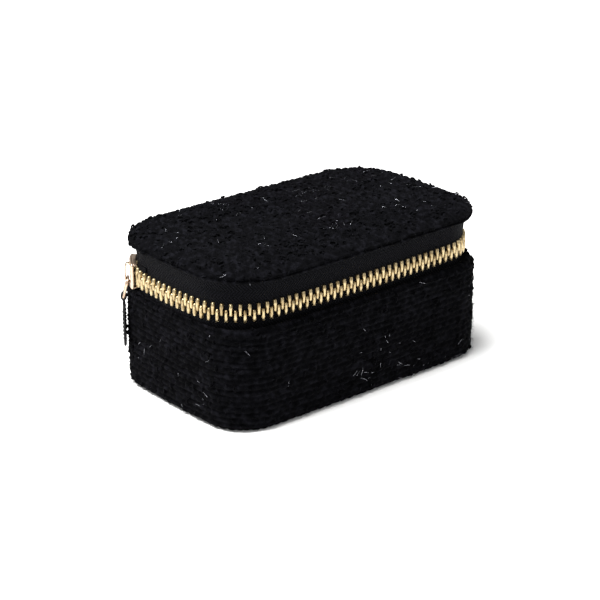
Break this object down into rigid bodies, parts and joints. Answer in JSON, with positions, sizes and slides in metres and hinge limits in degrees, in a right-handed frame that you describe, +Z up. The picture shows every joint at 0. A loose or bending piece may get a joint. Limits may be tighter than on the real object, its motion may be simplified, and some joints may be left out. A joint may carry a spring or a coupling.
{
  "type": "jewellery case",
  "caption": "Small round-cornered jewellery case in black tweed: padded lid on a fabric spine, closed round three sides by a coarse metal zip, ring rolls and compartments inside.",
  "frame": {"origin": "centre of the underside, where the case rests", "axes": "+X along the case's length, -Y to the front, +Y to the hinge, +Z up"},
  "size_m": [0.0994, 0.0596, 0.0456],
  "materials": {
    "tweed": "black boucle tweed with silver metallic thread",
    "zip_tape": "black herringbone twill tape",
    "velvet": "short-pile greige velvet",
    "board": "grey bookbinding board",
    "foam": "soft open-cell foam and wadding",
    "zip_brass": "pale gold polished zip metal",
    "slider_gilt": "pale gold die-cast slider and wire loop",
    "pull_leather": "black grained leather",
    "mirror": "silvered glass"
  },
  "bodies": {
    "base": {"base_bottom_cover": "tweed", "base_side_cover": "tweed", "base_bottom_board": "board", "base_wall_board": "board", "base_wall_wadding": "foam", "base_wall_lining": "velvet", "base_floor_foam": "foam", "base_floor_lining": "velvet", "compartment_divider_long": "velvet", "compartment_divider_cross": "velvet", "ring_roll_foam_1": "foam", "ring_roll_foam_2": "foam", "ring_roll_foam_3": "foam", "ring_roll_foam_4": "foam", "ring_roll_cover_1": "velvet", "ring_roll_cover_2": "velvet", "ring_roll_cover_3": "velvet", "ring_roll_cover_4": "velvet", "spine_cover_lower": "tweed", "spine_lining_lower": "velvet", "zip_tape_lower": "zip_tape", "zip_tape_upper_end": "zip_tape", "zip_teeth_lower": "zip_brass", "zip_teeth_upper_end": "zip_brass", "zip_top_stop_lower": "zip_brass", "zip_top_stop_upper": "zip_brass", "zip_bottom_stop": "zip_brass"},
    "lid": {"lid_cover": "tweed", "lid_board": "board", "lid_foam": "foam", "lid_wall_board": "board", "lid_lining": "velvet", "lid_mirror": "mirror", "mirror_frame": "velvet", "spine_cover_upper": "tweed", "spine_lining_upper": "velvet", "zip_tape_upper": "zip_tape", "zip_teeth_upper": "zip_brass"},
    "slider": {"zip_slider": "slider_gilt", "zip_slider_bridge": "slider_gilt"},
    "pull_loop_body": {"pull_loop": "slider_gilt"},
    "pull_tab_body": {"pull_tab": "pull_leather"}
  },
  "joints": [
    {"name": "lid_hinge", "type": "hinge", "parent": "base", "child": "lid", "pos_m": [0, 0.0276, 0.0336], "axis": [-1, 0, 0], "range_deg": [0, 105]},
    {"name": "slider_travel", "type": "hinge", "parent": "base", "child": "slider", "pos_m": [-0.03247, 0.0107, 0.0336], "axis": [0, 0, 1], "range_deg": [0, 18]},
    {"name": "pull_lift", "type": "hinge", "parent": "slider", "child": "pull_loop_body", "pos_m": [-0.04674, 0.02125, 0.0319], "axis": [0.5948, 0.8039, 0], "range_deg": [0, 110]},
    {"name": "tab_swing", "type": "hinge", "parent": "pull_loop_body", "child": "pull_tab_body", "pos_m": [-0.04783, 0.02206, 0.0265], "axis": [0.5948, 0.8039, 0], "range_deg": [0, 55]}
  ]
}
